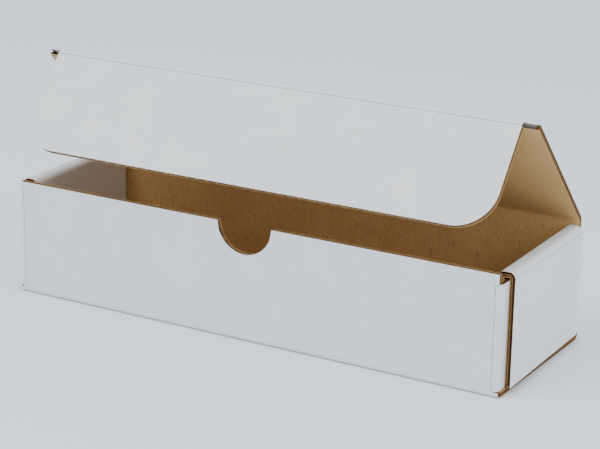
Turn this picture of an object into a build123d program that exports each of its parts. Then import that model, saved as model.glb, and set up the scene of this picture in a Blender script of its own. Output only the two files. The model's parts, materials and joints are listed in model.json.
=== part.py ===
from build123d import *
import os
from math import cos, radians, sin

# A corrugated mailer box die-cut from one sheet of board, white outside and kraft inside.
# The strip tuck flap, lid, back wall, bottom, front wall is folded round the box. Each end
# panel comes off the back wall, rolls over at its top and hangs down inside, and traps a
# corner flap that comes off the front wall. The lid stands half open on the back crease.
#
# Frame: millimetres and degrees, +Z up, +X to the right, the front wall faces -Y.
# The origin is the centre of the underside of the bottom panel.

# The board and its creases
board = 3.0                 # thickness of the corrugated board
crease_radius = 0.5         # inside radius of a right-angle crease
layer_gap = 0.3             # room between two layers that lie face to face
edge_gap = 0.5              # room between a cut edge and the panel that it meets

# The tray
length = 305.0              # over the two outer end panels
depth = 101.0               # over the front and back walls
front_height = 66.4         # top edge of the front wall
end_drop = 0.9              # how far the rolled-over ends lie below the front wall
end_setback = 9.0           # from the front face back to the front edges of the end panels
bottom_inset = 0.5          # cut side edges of the bottom, in from the end panels
front_relief = (2.3, 8.0)   # corner cut off the bottom at the front crease, across and along
corner_flap_reach = 50.0    # corner flap, from the front face to its cut end
corner_flap_drop = 5.4      # top of a corner flap below the top of the front wall
lock_tabs = 2               # tabs on the lower edge of each inner end panel
lock_tab_width = 20.0
lock_tab_pitch = 46.0
lock_tab_recess = 0.3       # tab ends above the underside
notch_radius = 16.6         # half-round thumb notch in the top edge of the front wall
notch_ease = 2.0            # rounding where the notch meets the top edge

# The lid and its tuck flap
lid_width = 300.6
lid_clearance = 0.6         # shut lid above the front wall's top edge
hinge_gap = 0.25            # cut end of the lid panel to the rounded top of the back wall
tuck_clearance = 1.3        # tuck flap's outer face to the inside of the front wall, shut
tuck_width_gap = 0.7        # tuck flap's side edge to an inner end panel, shut
tuck_floor_gap = 5.0        # tuck flap hanging plumb, above the bottom
tuck_corner_radius = 21.0   # the two free corners of the tuck flap
tuck_root_gap = 0.2         # tuck flap's cut edge to its crease line
lid_open = 45.5             # lid above level, as it stands
tuck_fold = 96.0            # tuck flap turned down from the plane of the lid

# Sizes that follow
outer_radius = crease_radius + board
half_length = length / 2
half_depth = depth / 2
end_height = front_height - end_drop
roll_width = 3 * board + 2 * layer_gap
front_half = half_length - board - layer_gap
bottom_half = half_length - bottom_inset
cut_half = front_half - board / 2
lid_half = lid_width / 2
panel_bottom = board + edge_gap
corner_flap_top = front_height - corner_flap_drop
roll_back = half_depth - board - edge_gap
hinge_y = half_depth - board / 2
hinge_z = front_height + lid_clearance + board / 2
lid_reach = depth - board / 2 - 2 * board - tuck_clearance
tuck_half = half_length - roll_width - tuck_width_gap
tuck_depth = front_height + lid_clearance - board - tuck_floor_gap
inner_face = half_length - roll_width


def block(x_range, y_range, z_range):
    """A box between two values on each axis."""
    spans = [high - low for low, high in (x_range, y_range, z_range)]
    centre = [(high + low) / 2 for low, high in (x_range, y_range, z_range)]
    return Pos(*centre) * Box(*spans)


def bent_board(plane, width, legs, run):
    """Board folded to a U: a web of the given outer width with two legs up along the
    plane's own y, creased at both corners, and run off along the plane's normal."""
    outer = RectangleRounded(width, 2 * legs, outer_radius)
    inner = RectangleRounded(width - 2 * board, 2 * (legs - board), crease_radius)
    upper = Pos(0, legs / 2) * Rectangle(2 * width, legs)
    profile = Pos(0, legs) * (outer - inner - upper)
    return extrude(plane * profile, amount=run)


def make_strip():
    """Front wall, bottom and back wall, one U with creases along both long sides."""
    plane = Plane(origin=(-bottom_half, 0, 0), x_dir=(0, 1, 0), z_dir=(1, 0, 0))
    strip = bent_board(plane, depth, hinge_z, length - 2 * bottom_inset)
    strip -= block((-length, length), (-depth, 0), (front_height, 2 * hinge_z))
    walls_from = outer_radius
    for side in (-1, 1):
        front_ends = sorted((side * cut_half, side * length))
        strip -= block(front_ends, (-depth, 0), (walls_from, 2 * hinge_z))
        flap_ends = sorted((side * (front_half - outer_radius), side * length))
        strip -= block(flap_ends, (-depth, 0), (panel_bottom, corner_flap_top))
        back_ends = sorted((side * (half_length - outer_radius), side * length))
        strip -= block(back_ends, (0, depth), (walls_from, end_height - outer_radius))
        lid_ends = sorted((side * lid_half, side * length))
        strip -= block(lid_ends, (0, depth), (walls_from, 2 * hinge_z))
        across, along = front_relief
        corner = Polyline(
            (side * bottom_half, -half_depth + outer_radius + along),
            (side * (bottom_half - across), -half_depth + outer_radius),
            (side * (bottom_half - across), -depth),
            (side * length, -depth),
            (side * length, -half_depth + outer_radius + along),
            close=True,
        )
        strip -= extrude(make_face(corner), amount=outer_radius, dir=(0, 0, 1))
    barrel = Pos(0, hinge_y, hinge_z) * Rot(0, 90, 0) * Cylinder(board / 2, lid_width)
    return strip + barrel


def make_corner_flaps():
    """The front wall between its two corner flaps, creased round both front corners."""
    plane = Plane(origin=(0, -half_depth, panel_bottom), x_dir=(1, 0, 0), z_dir=(0, 0, 1))
    height = corner_flap_top - panel_bottom
    return bent_board(plane, 2 * front_half, corner_flap_reach, height)


def make_end_walls():
    """The back wall between its two outer end panels, creased round both back corners."""
    plane = Plane(origin=(0, half_depth, panel_bottom), x_dir=(-1, 0, 0), z_dir=(0, 0, 1))
    height = end_height - outer_radius - panel_bottom
    return bent_board(plane, length, depth - end_setback, height)


def make_roll(side):
    """The top of one end, rolled over, with the inner end panel and its lock tabs."""
    run = roll_back + half_depth - end_setback
    plane = Plane(
        origin=(side * (half_length - roll_width / 2), roll_back, end_height),
        x_dir=(1, 0, 0),
        z_dir=(0, -1, 0),
    )
    flipped = Plane(origin=plane.origin, x_dir=-plane.x_dir, z_dir=plane.z_dir)
    legs = end_height - panel_bottom
    roll = bent_board(flipped, roll_width, legs, run)
    inside = sorted((side * inner_face, side * (inner_face + board)))
    for tab in range(lock_tabs):
        middle = (tab - (lock_tabs - 1) / 2) * lock_tab_pitch
        width = (middle - lock_tab_width / 2, middle + lock_tab_width / 2)
        roll += block(inside, width, (lock_tab_recess, panel_bottom + board))
    return roll


def make_slots(side):
    """The slots in the bottom that take one inner end panel's lock tabs."""
    across = sorted((side * (inner_face - layer_gap), side * (inner_face + board + layer_gap)))
    slots = []
    for tab in range(lock_tabs):
        middle = (tab - (lock_tabs - 1) / 2) * lock_tab_pitch
        reach = lock_tab_width / 2 + edge_gap
        slots.append(block(across, (middle - reach, middle + reach), (-board, 2 * board)))
    return slots


def make_notch():
    """The thumb notch, cut right through the front wall and eased into its top edge."""
    top = front_height
    ease = notch_ease
    # the easing arc touches the top edge and the half round
    centre_x = ((notch_radius + ease) ** 2 - ease**2) ** 0.5
    touch_x = centre_x * notch_radius / (notch_radius + ease)
    touch_z = -ease * notch_radius / (notch_radius + ease)
    middle = (centre_x - ease * sin(radians(45)), -ease + ease * cos(radians(45)))
    lead = radians(0.5)
    between = (centre_x - ease * sin(radians(45) + lead), -ease + ease * cos(radians(45) + lead))
    right = ThreePointArc((touch_x, touch_z), between, (centre_x, 0))
    bowl = ThreePointArc((-touch_x, touch_z), (0, -notch_radius), (touch_x, touch_z))
    left = mirror(right, about=Plane.YZ)
    lid_line = Polyline((centre_x, 0), (centre_x, ease), (-centre_x, ease), (-centre_x, 0))
    outline = make_face(Plane.XZ * (bowl + right + lid_line + left))
    cutter = extrude(outline, amount=2 * board, both=True)
    return Pos(0, -half_depth, top) * cutter


def make_tray():
    strip = make_strip()
    for side in (-1, 1):
        strip -= make_slots(side)
    tray = strip + make_corner_flaps() + make_end_walls()
    for side in (-1, 1):
        tray += make_roll(side)
    return tray - make_notch()


def make_lid():
    """The lid panel lying level, from the back crease to the tuck flap's crease."""
    near = -board / 2 - hinge_gap
    return block((-lid_half, lid_half), (-lid_reach, near), (-board / 2, board / 2))


def make_tuck_flap():
    """The tuck flap lying level ahead of its crease line, which is at its lower face."""
    outline = Pos(0, -(tuck_depth + tuck_root_gap) / 2) * Rectangle(
        2 * tuck_half, tuck_depth - tuck_root_gap
    )
    free = outline.vertices().sort_by(Axis.Y)[:2]
    outline = fillet(free, tuck_corner_radius)
    return extrude(outline, amount=board, dir=(0, 0, 1))


os.makedirs("parts", exist_ok=True)

raised = Pos(0, hinge_y, hinge_z) * Rot(-lid_open, 0, 0)
folded = Pos(0, -lid_reach, -board / 2) * Rot(tuck_fold, 0, 0)

export_step(make_tray(), "parts/tray.step")
export_step(raised * make_lid(), "parts/lid.step")
export_step(raised * folded * make_tuck_flap(), "parts/tuck_flap.step")
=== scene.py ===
import json
from math import atan2, cos, hypot, pi, radians, sin, sqrt

import bpy
from mathutils import Matrix, Vector


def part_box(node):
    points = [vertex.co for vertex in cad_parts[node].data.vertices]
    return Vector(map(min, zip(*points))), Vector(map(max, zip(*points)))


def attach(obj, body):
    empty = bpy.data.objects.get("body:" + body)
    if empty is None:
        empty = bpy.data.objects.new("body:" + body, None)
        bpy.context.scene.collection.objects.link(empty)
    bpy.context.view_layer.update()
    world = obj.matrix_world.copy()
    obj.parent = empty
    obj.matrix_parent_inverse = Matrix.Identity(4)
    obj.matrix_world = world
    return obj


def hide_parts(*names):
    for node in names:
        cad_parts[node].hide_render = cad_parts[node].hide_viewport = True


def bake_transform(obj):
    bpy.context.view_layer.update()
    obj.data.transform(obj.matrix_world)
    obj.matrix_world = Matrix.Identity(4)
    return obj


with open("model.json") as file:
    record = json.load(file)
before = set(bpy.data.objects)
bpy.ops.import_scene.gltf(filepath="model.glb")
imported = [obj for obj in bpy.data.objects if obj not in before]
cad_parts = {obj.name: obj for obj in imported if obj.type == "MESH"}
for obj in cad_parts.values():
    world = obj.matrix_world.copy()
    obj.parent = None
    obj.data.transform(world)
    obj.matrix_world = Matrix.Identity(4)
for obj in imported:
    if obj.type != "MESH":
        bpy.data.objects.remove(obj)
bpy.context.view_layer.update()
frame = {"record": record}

# Front wall, bottom and back wall: one strip of B-flute board with a white liner outside and
# a kraft liner inside. It is die-cut flat with the rest of the sheet and creased where the
# walls turn up. The front wall's top has a half-round thumb notch cut in it.

MM = 0.001
BOARD = 3.0 * MM
MID = BOARD / 2
BEND = 2.0 * MM  # crease radius at the middle of the board
LINER = 0.3 * MM
FLUTE_PITCH = 6.4 * MM
RECESS = 1.6 * MM  # how far back the medium can be seen in a cut edge
STRAIGHT_CORE = 0.35  # where the medium lies in an edge cut along the flutes
CORE_CLEARANCE = LINER * 1.6
MEDIUM_HALF = LINER * 0.45
STEP = 0.8 * MM
STEP_GAP = 0.1 * MM  # between two rows where the strip's width changes
ROW_GAP = 0.02 * MM  # between the rows that the notch pushes down

tray_high = Vector(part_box("tray")[1])
HALF_LENGTH, HALF_DEPTH = tray_high.x, tray_high.y
COLUMNS = round(2 * HALF_LENGTH / STEP)
FRONT_TOP = 66.4 * MM
END_TOP = FRONT_TOP - 0.9 * MM
END_FOLD = END_TOP - BEND - MID
FRONT_HALF = HALF_LENGTH - BOARD - 0.3 * MM
BOTTOM_HALF = HALF_LENGTH - 0.5 * MM
PANEL_BOTTOM = BOARD + 0.5 * MM
RELIEF_DEPTH, RELIEF_RUN = 2.3 * MM, 8.0 * MM  # the bottom's side edges taper in at the front
FLAP_TOP = FRONT_TOP - 5.4 * MM
NOTCH_RADIUS = 16.6 * MM
NOTCH_REACH = 40.0 * MM
CREASE_REACH = 2.2 * MM  # from the lid's hinge line to the whole board on either side
joints = {joint["name"]: joint for joint in frame["record"]["behaviour"]["joints"]}
HINGE = Vector(joints["lid_crease"]["pos_m"])
LID_HALF = (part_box("lid")[1][0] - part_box("lid")[0][0]) / 2


class Maths:
    """A socket whose operators add the Math or Mix nodes that the expression needs."""

    def __init__(self, tree, socket):
        self.tree, self.socket = tree, socket

    def node(self, kind, settings, sockets):
        """A new node: its settings first, then the values or links of its sockets."""
        made = self.tree.nodes.new(kind)
        for key, value in settings.items():
            setattr(made, key, value)
        for key, value in sockets.items():
            if isinstance(value, Maths):
                self.tree.links.new(value.socket, made.inputs[key])
            else:
                made.inputs[key].default_value = value
        return made

    def out(self, made, name=0):
        return Maths(self.tree, made.outputs[name])

    def math(self, operation, first, second=0.0):
        made = self.node("ShaderNodeMath", {"operation": operation}, {0: first, 1: second})
        return self.out(made)

    def __add__(self, other):
        return self.math("ADD", self, other)

    def __sub__(self, other):
        return self.math("SUBTRACT", self, other)

    def __rsub__(self, other):
        return self.math("SUBTRACT", other, self)

    def __mul__(self, other):
        return self.math("MULTIPLY", self, other)

    __radd__ = __add__
    __rmul__ = __mul__

    def sine(self):
        return self.math("SINE", self)

    def between(self, low, high):
        """0 at low, 1 at high and held past both."""
        sockets = {"Value": self, "From Min": low, "From Max": high}
        return self.out(self.node("ShaderNodeMapRange", {"clamp": True}, sockets))

    def tint(self, start, end):
        """The start colour where this is 0 and the end colour where it is 1."""
        first, last = (c if isinstance(c, Maths) else (*c, 1.0) for c in (start, end))
        made = self.node("ShaderNodeMix", {"data_type": "RGBA"}, {0: self, 6: first, 7: last})
        return self.out(made, 2)

    def noise(self, place, scale, detail):
        sockets = {"Vector": place, "Scale": scale, "Detail": detail}
        return self.out(self.node("ShaderNodeTexNoise", {}, sockets))


def liner_material(name, pale, deep, roughness, fibre, flute_axis):
    """Paper liner: cloudy colour, short fibres, flecks and a faint washboard of the flutes."""
    fleck_shade, rough_spread = 0.72, 0.12
    material = bpy.data.materials.new(name)
    material.use_nodes = True
    tree = material.node_tree
    shader = tree.nodes["Principled BSDF"]
    kit = Maths(tree, None)
    place = kit.out(kit.node("ShaderNodeTexCoord", {}, {}), "Object")
    stretch = (1.0, 1.0, 0.22) if flute_axis == "X" else (0.22, 1.0, 1.0)
    grain = kit.out(kit.node("ShaderNodeMapping", {}, {"Vector": place, "Scale": stretch}))
    clouds = kit.noise(place, scale=38.0, detail=4.0).between(0.3, 0.7)
    fibres = kit.noise(grain, scale=1500.0, detail=6.0).between(0.35, 0.65)
    flecks = kit.noise(grain, scale=700.0, detail=2.0).between(0.62, 0.72)
    colour = (clouds * (1 - fibre) + fibres * fibre).tint(deep, pale)
    dark = tuple(channel * fleck_shade for channel in deep)
    colour = (flecks * fibre).tint(colour, dark)
    tree.links.new(colour.socket, shader.inputs["Base Color"])
    rough = fibres * rough_spread + (roughness - rough_spread / 2)
    tree.links.new(rough.socket, shader.inputs["Roughness"])
    shader.inputs["Specular IOR Level"].default_value = 0.25
    split = kit.node("ShaderNodeSeparateXYZ", {}, {"Vector": place})
    washboard = (kit.out(split, flute_axis) * (2 * pi / FLUTE_PITCH)).sine() * 0.5 + 0.5
    height = washboard * 0.10 + fibres * 0.045 + clouds * 0.25
    relief = {"Height": height, "Strength": 0.5, "Distance": 0.35 * MM}
    bump = kit.node("ShaderNodeBump", {}, relief)
    tree.links.new(bump.outputs["Normal"], shader.inputs["Normal"])
    return material


WHITE = liner_material(
    "white_liner", pale=(0.80, 0.815, 0.835), deep=(0.745, 0.765, 0.79),
    roughness=0.62, fibre=0.25, flute_axis="X",
)
KRAFT = liner_material(
    "kraft_liner", pale=(0.66, 0.43, 0.19), deep=(0.52, 0.31, 0.12),
    roughness=0.80, fibre=0.6, flute_axis="X",
)
MEDIUM = liner_material(
    "fluted_medium", pale=(0.36, 0.215, 0.095), deep=(0.23, 0.125, 0.05),
    roughness=0.9, fibre=0.7, flute_axis="Z",
)
# Near-black brown for the back of each cut edge's recess: painted shade deep in the open flutes, not
# the board's own colour.
FLUTE_SHADOW = liner_material(
    "core_shadow", pale=(0.07, 0.038, 0.017), deep=(0.035, 0.018, 0.008),
    roughness=0.95, fibre=0.6, flute_axis="Z",
)
FINISHES = (WHITE, KRAFT, MEDIUM, FLUTE_SHADOW)
# The last finish is the painted shade at the back of the flute hollows.
OUTSIDE, INSIDE, PAPER, PAINTED_HOLLOW_SHADE = range(4)


def arc(centre, radius, start, end, steps=6):
    """Points round a crease, in the plane of the board's section."""
    turns = [radians(start + (end - start) * step / steps) for step in range(steps + 1)]
    return [(centre[0] + radius * cos(a), centre[1] + radius * sin(a)) for a in turns]


def distinct(points):
    """A section without its repeated points."""
    kept = points[:1]
    for point in points[1:]:
        if hypot(point[0] - kept[-1][0], point[1] - kept[-1][1]) > 1e-6:
            kept.append(point)
    return kept


def section_normals(points):
    """The unit normal at each point of a section, on its left-hand side."""
    out = []
    for k in range(len(points)):
        first, last = points[max(k - 1, 0)], points[min(k + 1, len(points) - 1)]
        dx, dy = last[0] - first[0], last[1] - first[1]
        size = hypot(dx, dy)
        out.append((-dy / size, dx / size))
    return out


def even(half, count):
    return [half * (2 * k / count - 1) for k in range(count + 1)]


def board_mesh(name, rows, waves=(True, True), sides=(True, True), ends=(True, True)):
    """Board from a grid of rows of (outer point, inner point) pairs. Its cut edges are open
    between the two liners and show the fluted medium, end-on across the flutes, in front of a
    near-black back face that is painted shade in the hollows."""
    verts, faces, finish = [], [], []

    def add(point):
        verts.append(tuple(point))
        return len(verts) - 1

    def face(corners, material):
        faces.append(corners)
        finish.append(material)

    skin = {}
    for layer in (0, 1):
        for i, row in enumerate(rows):
            for j, pair in enumerate(row):
                skin[layer, i, j] = add(pair[layer])
    count, across = len(rows), len(rows[0])
    for i in range(count - 1):
        for j in range(across - 1):
            quad = [(i, j), (i, j + 1), (i + 1, j + 1), (i + 1, j)]
            face([skin[(0, *key)] for key in quad], OUTSIDE)
            face([skin[(1, *key)] for key in reversed(quad)], INSIDE)

    def cut_edge(line, back, wavy):
        length, stations = 0.0, []
        for place, (i, j) in enumerate(line):
            outer, inner = Vector(rows[i][j][0]), Vector(rows[i][j][1])
            if place:
                length += (outer - stations[-1][0]).length
            bi, bj = back(i, j)
            middle = (outer + inner) / 2
            towards = (Vector(rows[bi][bj][0]) + Vector(rows[bi][bj][1])) / 2 - middle
            stations.append((outer, inner, towards.normalized() * RECESS, length, i, j))
        rails = []
        for outer, inner, depth, length, i, j in stations:
            through = (inner - outer).normalized()
            lip_out, lip_in = outer + through * LINER, inner - through * LINER
            swing = sin(2 * pi * length / FLUTE_PITCH) if wavy else STRAIGHT_CORE
            room = (inner - outer).length / 2 - CORE_CLEARANCE
            core = (outer + inner) / 2 + through * swing * room
            half = through * MEDIUM_HALF
            rails.append([skin[0, i, j], add(lip_out), add(lip_out + depth), add(lip_in + depth),
                          add(lip_in), skin[1, i, j], add(core - half), add(core + half),
                          add(core - half + depth), add(core + half + depth)])
        # Face (2, 3) at the back of the recess takes the near-black finish: painted shade inside the
        # flutes.
        for first, last in zip(rails, rails[1:]):
            for a, b, material in ((0, 1, PAPER), (1, 2, PAPER), (2, 3, PAINTED_HOLLOW_SHADE), (3, 4, PAPER),
                                   (4, 5, INSIDE), (6, 7, PAPER), (8, 6, PAPER), (7, 9, PAPER)):
                face([first[a], first[b], last[b], last[a]], material)

    last_row, last_col = count - 1, across - 1
    if ends[0]:
        cut_edge([(0, j) for j in range(across)], lambda i, j: (1, j), waves[0])
    if ends[1]:
        line = [(last_row, j) for j in reversed(range(across))]
        cut_edge(line, lambda i, j: (last_row - 1, j), waves[0])
    if sides[0]:
        line = [(i, 0) for i in reversed(range(count))]
        cut_edge(line, lambda i, j: (i, 1), waves[1])
    if sides[1]:
        cut_edge([(i, last_col) for i in range(count)], lambda i, j: (i, last_col - 1), waves[1])
    mesh = bpy.data.meshes.new(name)
    mesh.from_pydata(verts, [], faces)
    for material in FINISHES:
        mesh.materials.append(material)
    mesh.polygons.foreach_set("material_index", finish)
    mesh.update()
    piece = bpy.data.objects.new(name, mesh)
    bpy.context.scene.collection.objects.link(piece)
    return piece


def strip_section():
    """Front wall, bottom and back wall, from the front wall's top to the lid crease."""
    front, rear = -HALF_DEPTH + MID, HALF_DEPTH - MID
    section = [(front, FRONT_TOP), (front, FLAP_TOP + STEP_GAP), (front, FLAP_TOP)]
    section += [(front, PANEL_BOTTOM + STEP_GAP)]
    section += arc((front + BEND, MID + BEND), BEND, 180, 270)
    section += arc((rear - BEND, MID + BEND), BEND, 270, 360)
    section += [(rear, PANEL_BOTTOM + STEP_GAP)]
    section += [(rear, END_FOLD), (rear, END_FOLD + STEP_GAP)]
    section += [(rear, HINGE.z - CREASE_REACH)]
    return distinct(section)


def strip_half_width(u, v):
    """Half the strip's width at a point of its section: each panel has its own."""
    if abs(u) < HALF_DEPTH - BEND - MID - STEP_GAP or v < PANEL_BOTTOM + STEP_GAP / 2:
        relief = min(1.0, max(0.0, (u + HALF_DEPTH - BEND - MID) / RELIEF_RUN))
        return BOTTOM_HALF - RELIEF_DEPTH * (1 - relief)
    if u < 0:
        return FRONT_HALF - BEND - MID if v <= FLAP_TOP + STEP_GAP / 10 else FRONT_HALF - MID
    return HALF_LENGTH - BEND - MID if v <= END_FOLD + STEP_GAP / 10 else LID_HALF


def notch_drop(x):
    return sqrt(max(0.0, NOTCH_RADIUS ** 2 - x ** 2))


def make_strip():
    section = strip_section()
    rows = []
    for k, ((u, v), (nu, nv)) in enumerate(zip(section, section_normals(section))):
        row = []
        for x in even(strip_half_width(u, v), COLUMNS):
            drop = notch_drop(x) if u < 0 and v > FRONT_TOP - NOTCH_REACH else 0.0
            z = min(v, FRONT_TOP - drop - k * ROW_GAP) if drop else v
            row.append(((x, u - nu * MID, z - nv * MID), (x, u + nu * MID, z + nv * MID)))
        rows.append(row)
    return board_mesh("tray_strip", rows, waves=(True, False), ends=(True, False))


strip = make_strip()
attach(strip, "tray_body")
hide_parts("tray")

# Corner flaps: two small flaps of the same board, folded back off the ends of the front wall.
# Nothing is glued. Each is trapped between the two layers of its end, which holds the box up.

SIDES = ((-1, "left"), (1, "right"))
WALL_ROWS = 70
CORNER_FLAP_REACH = 50.0 * MM


def swept_board(name, section, place, columns, side=1, **edges):
    """Board swept along a line. place puts a section point (u, v) at station w in space,
    and columns gives the stations of one row from its u, v."""
    section = distinct(section)
    rows = []
    for (u, v), (nu, nv) in zip(section, section_normals(section)):
        half = BOARD / 2 * side
        stations = columns(u, v)
        rows.append([(place(u + nu * half, v + nv * half, w), place(u - nu * half, v - nv * half, w))
                     for w in stations])
    return board_mesh(name, rows, **edges)


def spaced(low, high, count):
    """Places from low to high, evenly spaced."""
    return [low + (high - low) * k / count for k in range(count + 1)]


for side, word in SIDES:
    outer_x, front = FRONT_HALF - MID, -HALF_DEPTH + MID
    section = [(outer_x - BEND, front)] + arc((outer_x - BEND, front + BEND), BEND, 270, 360)
    section += [(outer_x, -HALF_DEPTH + CORNER_FLAP_REACH)]
    flap = swept_board(
        "corner_flap_" + word, section, lambda u, v, w, s=side: (s * u, v, w),
        lambda u, v: spaced(PANEL_BOTTOM, FLAP_TOP, WALL_ROWS),
        side=-1, waves=(False, True), ends=(False, True),
    )
    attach(flap, "tray_body")
    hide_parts("tray")

# Outer end panels: they turn forward off the sides of the back wall, outside the corner flaps,
# and stop at a plain cut edge a little behind the front wall.

CELL = 4.0 * MM
END_FRONT = -HALF_DEPTH + 9.0 * MM


def dense(points, pitch):
    """The same section with extra points, no further apart than the pitch."""
    out = [points[0]]
    for first, last in zip(points, points[1:]):
        steps = max(1, round(hypot(last[0] - first[0], last[1] - first[1]) / pitch))
        out += [tuple(first[k] + (last[k] - first[k]) * step / steps for k in range(2))
                for step in range(1, steps + 1)]
    return out


for side, word in SIDES:
    outer_x, rear = HALF_LENGTH - MID, HALF_DEPTH - MID
    section = [(outer_x - BEND, rear)] + arc((outer_x - BEND, rear - BEND), BEND, 90, 0)
    wall = swept_board(
        "outer_end_" + word, dense(section + [(outer_x, END_FRONT)], CELL),
        lambda u, v, w, s=side: (s * u, v, w),
        lambda u, v: spaced(PANEL_BOTTOM, END_FOLD, WALL_ROWS),
        waves=(False, True), ends=(False, True), sides=(True, False),
    )
    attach(wall, "tray_body")
    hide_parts("tray")

# Rolled tops and inner end panels: each outer end panel goes on over a double crease, as wide
# as the three layers, and hangs down inside. Its white liner faces into the box.

ROLL_WIDTH = 3 * BOARD + 0.6 * MM
ROLL_RUNS = 110
BACK_CLEARANCE = 0.5 * MM

for side, word in SIDES:
    outer_x, inner_x = HALF_LENGTH - MID, HALF_LENGTH - ROLL_WIDTH + MID
    high = END_TOP - MID
    section = [(outer_x, END_FOLD)] + arc((outer_x - BEND, high - BEND), BEND, 0, 90)
    section += arc((inner_x + BEND, high - BEND), BEND, 90, 180)
    roll = swept_board(
        "rolled_end_" + word, dense(section + [(inner_x, PANEL_BOTTOM)], CELL),
        lambda u, v, w, s=side: (s * u, w, v),
        lambda u, v: spaced(END_FRONT, HALF_DEPTH - BOARD - BACK_CLEARANCE, ROLL_RUNS),
        side=-1, waves=(True, False), ends=(False, True),
    )
    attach(roll, "tray_body")
    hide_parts("tray")

# The lid: the next panel of the same sheet, creased along the top of the back wall. It has
# no side flaps, so both its side edges are plain cuts that show the board's section.

TUCK = Vector(joints["tuck_crease"]["pos_m"])
lid_way = Vector((0, TUCK.y - HINGE.y, TUCK.z - HINGE.z))
LID_REACH = sqrt(lid_way.length_squared - MID ** 2)
LID_ANGLE = atan2(lid_way.z, -lid_way.y) + atan2(MID, LID_REACH)


def lid_point(u, v, w):
    """A point of the lid: u along it from the hinge, v above its middle, w across."""
    y = HINGE.y - u * cos(LID_ANGLE) + v * sin(LID_ANGLE)
    return (w, y, HINGE.z + u * sin(LID_ANGLE) + v * cos(LID_ANGLE))


lid = swept_board(
    "lid_panel", dense([(CREASE_REACH, 0.0), (LID_REACH, 0.0)], CELL), lid_point,
    lambda u, v: even(LID_HALF, COLUMNS), waves=(True, False), ends=(False, False),
)
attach(lid, "lid_body")
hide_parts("lid")

# The lid crease: the crushed score along the back, where both liners stay whole and the
# board bends from the back wall into the lid.

CREASE_STEPS = 8


def make_lid_crease():
    """Board on a smooth bend between the top of the back wall and the root of the lid."""
    hinge = Vector((HINGE.y, HINGE.z))
    first = hinge - Vector((0, CREASE_REACH))
    last = hinge + Vector((-cos(LID_ANGLE), sin(LID_ANGLE))) * CREASE_REACH
    rows = []
    for step in range(CREASE_STEPS + 1):
        share = step / CREASE_STEPS
        angle = (pi / 2) * (1 - share) + (pi - LID_ANGLE) * share
        spot = first * (1 - share) ** 2 + hinge * 2 * share * (1 - share) + last * share ** 2
        through = Vector((sin(angle), -cos(angle))) * MID
        outer, inner = spot + through, spot - through
        rows.append([((x, *outer), (x, *inner)) for x in even(LID_HALF, COLUMNS // 2)])
    return board_mesh("lid_crease", rows, waves=(True, False), ends=(False, False))


lid_crease = make_lid_crease()
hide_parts("lid")
lid_point(CREASE_REACH, 0, 0)
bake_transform(lid_crease)

# The tuck flap: the sheet's free end, turned down from the lid, with two rounded corners so
# that it slips in behind the front wall.

TUCK_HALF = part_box("tuck_flap")[1][0]
TUCK_ROOT = 0.2 * MM
TUCK_CORNER = 21.0 * MM
TUCK_DEPTH = 59.0 * MM
TUCK_STRAIGHT = TUCK_DEPTH - TUCK_CORNER
TUCK_FOLD = radians(96)
TUCK_ANGLE = LID_ANGLE - TUCK_FOLD
STRAIGHT_ROWS, CORNER_ROWS = 12, 24


def tuck_point(u, v, w):
    """A point of the flap: u down it from the crease, v out from its inner face, w across."""
    y = TUCK.y - u * cos(TUCK_ANGLE) + v * sin(TUCK_ANGLE)
    return (w, y, TUCK.z + u * sin(TUCK_ANGLE) + v * cos(TUCK_ANGLE))


def tuck_half_width(u):
    """Half the flap's width, drawn in round its two corners."""
    past = u - TUCK_STRAIGHT
    if past <= 0:
        return TUCK_HALF
    return TUCK_HALF - TUCK_CORNER + sqrt(max(0.0, TUCK_CORNER ** 2 - past ** 2))


def make_tuck_flap():
    stations = [TUCK_ROOT + TUCK_STRAIGHT * k / STRAIGHT_ROWS for k in range(STRAIGHT_ROWS)]
    turns = [pi / 2 * k / CORNER_ROWS for k in range(CORNER_ROWS + 1)]
    stations += [TUCK_STRAIGHT + TUCK_CORNER * sin(turn) for turn in turns]
    rows = [[(tuck_point(u, BOARD, w), tuck_point(u, 0.0, w))
             for w in even(tuck_half_width(u), COLUMNS)] for u in stations]
    return board_mesh("tuck_flap_panel", rows, waves=(True, False), ends=(False, True))


tuck = make_tuck_flap()
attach(tuck, "tuck_body")
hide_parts("tuck_flap")

# The tuck crease: the score at the lid's front edge, bent round about the inner liner.

CREASE_HEART = 0.05 * MM


def tuck_crease_rows():
    """The board at each step round the fold, from the lid to the flap."""
    rows = []
    for step in range(CREASE_STEPS + 1):
        angle = LID_ANGLE - TUCK_FOLD * step / CREASE_STEPS
        outer, inner = ((TUCK.y + far * sin(angle), TUCK.z + far * cos(angle))
                        for far in (BOARD, CREASE_HEART))
        rows.append([((x, *outer), (x, *inner)) for x in even(TUCK_HALF, COLUMNS // 2)])
    return rows


turn_rows = tuck_crease_rows()
tuck_crease = board_mesh("tuck_crease", turn_rows, sides=(False, False), ends=(False, False))
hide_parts("tuck_flap")
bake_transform(tuck_crease)

# The floor: a plain pale sheet, far wider than the box, that the box stands on.

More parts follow.
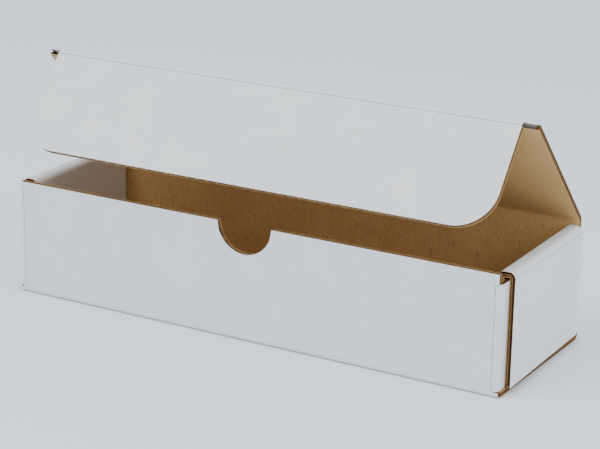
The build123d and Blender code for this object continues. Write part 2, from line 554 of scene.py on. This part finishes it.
FLOOR_HALF = 6.0
corners = ((-1, -1), (1, -1), (1, 1), (-1, 1))
floor_mesh = bpy.data.meshes.new("floor")
floor_mesh.from_pydata([(FLOOR_HALF * x, FLOOR_HALF * y, 0) for x, y in corners], [], [range(4)])
floor = bpy.data.objects.new("floor", floor_mesh)
bpy.context.scene.collection.objects.link(floor)
floor_material = bpy.data.materials.new("pale_floor")
floor_material.use_nodes = True
floor_shader = floor_material.node_tree.nodes["Principled BSDF"]
floor_shader.inputs["Base Color"].default_value = (0.86, 0.91, 0.955, 1)
floor_shader.inputs["Roughness"].default_value = 0.9
floor_mesh.materials.append(floor_material)

# The light: an even pale surround, with two large soft lamps aimed at the middle of the box.

world = bpy.data.worlds.new("studio")
bpy.context.scene.world = world
world.use_nodes = True
surround = world.node_tree.nodes["Background"]
surround.inputs["Color"].default_value = (0.90, 0.95, 1.0, 1)
surround.inputs["Strength"].default_value = 1.22
LIT_SPOT = Vector((0, 0, 0.05))


def area_light(name, place, size, power):
    light = bpy.data.lights.new(name, "AREA")
    light.shape, light.size, light.energy = "DISK", size, power
    lamp = bpy.data.objects.new(name, light)
    lamp.location = place
    lamp.rotation_euler = (Vector(place) - LIT_SPOT).to_track_quat("Z", "Y").to_euler()
    bpy.context.scene.collection.objects.link(lamp)


area_light("key", (-0.5, -0.7, 1.3), size=0.9, power=9.0)
area_light("right_fill", (1.2, -0.3, 0.7), size=0.8, power=5.0)

# The camera: right of the front, a little above, and turned slightly about its own line.

AZIMUTH, ELEVATION, ROLL = radians(29.4), radians(18.2), radians(0.95)
DISTANCE = 1.0737
TARGET = Vector((0.0055, 0, 0.0536))
LENS = 116.8
back = Vector((sin(AZIMUTH) * cos(ELEVATION), -cos(AZIMUTH) * cos(ELEVATION), sin(ELEVATION)))
level = Vector((cos(AZIMUTH), sin(AZIMUTH), 0))
upright = back.cross(level)
right = level * cos(ROLL) + upright * sin(ROLL)
up = upright * cos(ROLL) - level * sin(ROLL)
camera_data = bpy.data.cameras.new("camera")
camera_data.lens = LENS
camera = bpy.data.objects.new("camera", camera_data)
turn = Matrix((right, up, back)).transposed().to_4x4()
camera.matrix_world = Matrix.Translation(TARGET + back * DISTANCE) @ turn
bpy.context.scene.collection.objects.link(camera)
bpy.context.scene.camera = camera
